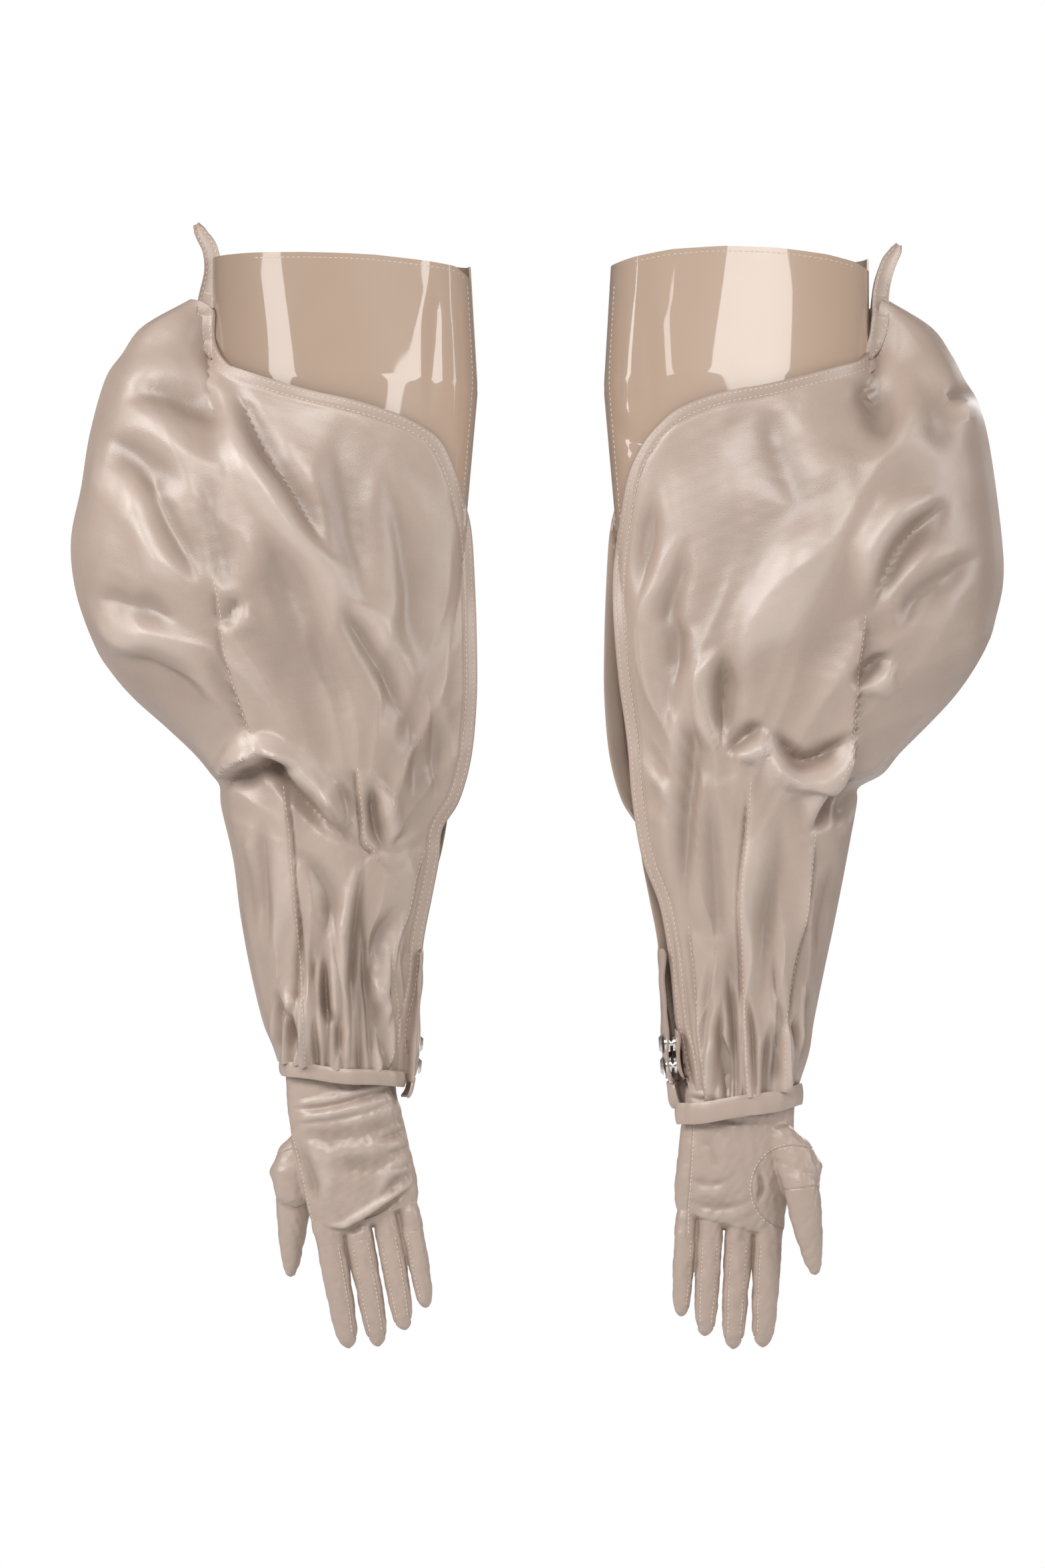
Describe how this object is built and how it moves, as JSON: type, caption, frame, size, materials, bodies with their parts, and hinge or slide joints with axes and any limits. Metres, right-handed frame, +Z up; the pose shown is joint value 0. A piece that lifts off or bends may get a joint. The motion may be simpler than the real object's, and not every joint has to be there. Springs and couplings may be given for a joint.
{
  "type": "puff sleeve long gloves",
  "caption": "Long leather gloves with glossy upper-arm tubes and puffed over-sleeves gathered into a snapped wrist band.",
  "frame": {"origin": "centre of the first glove's upper-arm opening, in the plane of the patent cuff's mouth", "axes": "+Z up the hanging arm, +X from the first glove to the second, -Y towards the side that shows the first glove's back of hand"},
  "size_m": [0.544, 0.112, 0.6616],
  "materials": {
    "leather": "soft satin, fine pebble grain",
    "patent_leather": "high gloss patent",
    "lining_leather": "smooth matt",
    "snap_metal": "polished nickel"
  },
  "bodies": {
    "first_sleeve": {"first_cuff_front": "patent_leather", "first_cuff_back": "patent_leather", "first_inner_sleeve": "lining_leather", "first_front_panel": "leather", "first_front_facing": "leather", "first_back_panel": "leather", "first_back_facing": "leather", "first_tab_front": "leather", "first_tab_back": "leather", "first_wrist_band": "leather", "first_snap_placket": "leather", "first_closure_fold": "leather", "first_snap_studs": "snap_metal"},
    "first_closure": {"first_closure_flap": "leather", "first_band_tab": "leather", "first_snap_caps": "snap_metal", "first_snap_sockets": "snap_metal"},
    "first_hand": {"first_hand_back": "leather", "first_hand_palm": "leather", "first_thumb_gusset": "leather"},
    "first_index": {"first_index_finger": "leather", "first_index_fourchette": "leather"},
    "first_middle": {"first_middle_finger": "leather", "first_middle_fourchette": "leather"},
    "first_ring": {"first_ring_finger": "leather", "first_ring_fourchette": "leather"},
    "first_little": {"first_little_finger": "leather", "first_little_fourchette": "leather"},
    "first_thumb": {"first_thumb": "leather"},
    "second_sleeve": {"second_cuff_front": "patent_leather", "second_cuff_back": "patent_leather", "second_inner_sleeve": "lining_leather", "second_front_panel": "leather", "second_front_facing": "leather", "second_back_panel": "leather", "second_back_facing": "leather", "second_tab_front": "leather", "second_tab_back": "leather", "second_wrist_band": "leather", "second_snap_placket": "leather", "second_closure_fold": "leather", "second_snap_studs": "snap_metal"},
    "second_closure": {"second_closure_flap": "leather", "second_band_tab": "leather", "second_snap_caps": "snap_metal", "second_snap_sockets": "snap_metal"},
    "second_hand": {"second_hand_back": "leather", "second_hand_palm": "leather", "second_thumb_gusset": "leather"},
    "second_index": {"second_index_finger": "leather", "second_index_fourchette": "leather"},
    "second_middle": {"second_middle_finger": "leather", "second_middle_fourchette": "leather"},
    "second_ring": {"second_ring_finger": "leather", "second_ring_fourchette": "leather"},
    "second_little": {"second_little_finger": "leather", "second_little_fourchette": "leather"},
    "second_thumb": {"second_thumb": "leather"}
  },
  "joints": [
    {"name": "first_wrist_bend", "type": "hinge", "parent": "first_sleeve", "child": "first_hand", "pos_m": [0, 0, -0.491], "axis": [1, 0, 0], "range_deg": [-20, 20]},
    {"name": "first_closure_open", "type": "hinge", "parent": "first_sleeve", "child": "first_closure", "pos_m": [0.0449, -0.012, -0.4631], "axis": [-0.0698, 0, -0.9976], "range_deg": [0, 80]},
    {"name": "first_index_bend", "type": "hinge", "parent": "first_hand", "child": "first_index", "pos_m": [-0.00863, 0, -0.57223], "axis": [0.9848, 0, 0.1736], "range_deg": [0, 70]},
    {"name": "first_middle_bend", "type": "hinge", "parent": "first_hand", "child": "first_middle", "pos_m": [0.00674, 0, -0.56952], "axis": [0.9848, 0, 0.1736], "range_deg": [0, 70]},
    {"name": "first_ring_bend", "type": "hinge", "parent": "first_hand", "child": "first_ring", "pos_m": [0.02161, 0, -0.5669], "axis": [0.9848, 0, 0.1736], "range_deg": [0, 70]},
    {"name": "first_little_bend", "type": "hinge", "parent": "first_hand", "child": "first_little", "pos_m": [0.0354, 0, -0.56447], "axis": [0.9848, 0, 0.1736], "range_deg": [0, 70]},
    {"name": "first_thumb_spread", "type": "hinge", "parent": "first_hand", "child": "first_thumb", "pos_m": [-0.02943, 0.013, -0.5429], "axis": [0, 1, 0], "range_deg": [0, 30]},
    {"name": "second_glove_lift", "type": "slide", "parent": "first_sleeve", "child": "second_sleeve", "axis": [0, 0, 1], "range_m": [0, 0.2]},
    {"name": "second_wrist_bend", "type": "hinge", "parent": "second_sleeve", "child": "second_hand", "pos_m": [0.232, 0, -0.491], "axis": [-1, 0, 0], "range_deg": [-20, 20]},
    {"name": "second_closure_open", "type": "hinge", "parent": "second_sleeve", "child": "second_closure", "pos_m": [0.1871, 0.012, -0.4631], "axis": [0.0698, 0, -0.9976], "range_deg": [0, 80]},
    {"name": "second_index_bend", "type": "hinge", "parent": "second_hand", "child": "second_index", "pos_m": [0.25046, 0, -0.57058], "axis": [-0.9986, 0, 0.0523], "range_deg": [0, 70]},
    {"name": "second_middle_bend", "type": "hinge", "parent": "second_hand", "child": "second_middle", "pos_m": [0.23488, 0, -0.56976], "axis": [-0.9986, 0, 0.0523], "range_deg": [0, 70]},
    {"name": "second_ring_bend", "type": "hinge", "parent": "second_hand", "child": "second_ring", "pos_m": [0.2198, 0, -0.56897], "axis": [-0.9986, 0, 0.0523], "range_deg": [0, 70]},
    {"name": "second_little_bend", "type": "hinge", "parent": "second_hand", "child": "second_little", "pos_m": [0.20582, 0, -0.56824], "axis": [-0.9986, 0, 0.0523], "range_deg": [0, 70]},
    {"name": "second_thumb_spread", "type": "hinge", "parent": "second_hand", "child": "second_thumb", "pos_m": [0.26754, -0.013, -0.53893], "axis": [0, -1, 0], "range_deg": [0, 30]}
  ]
}
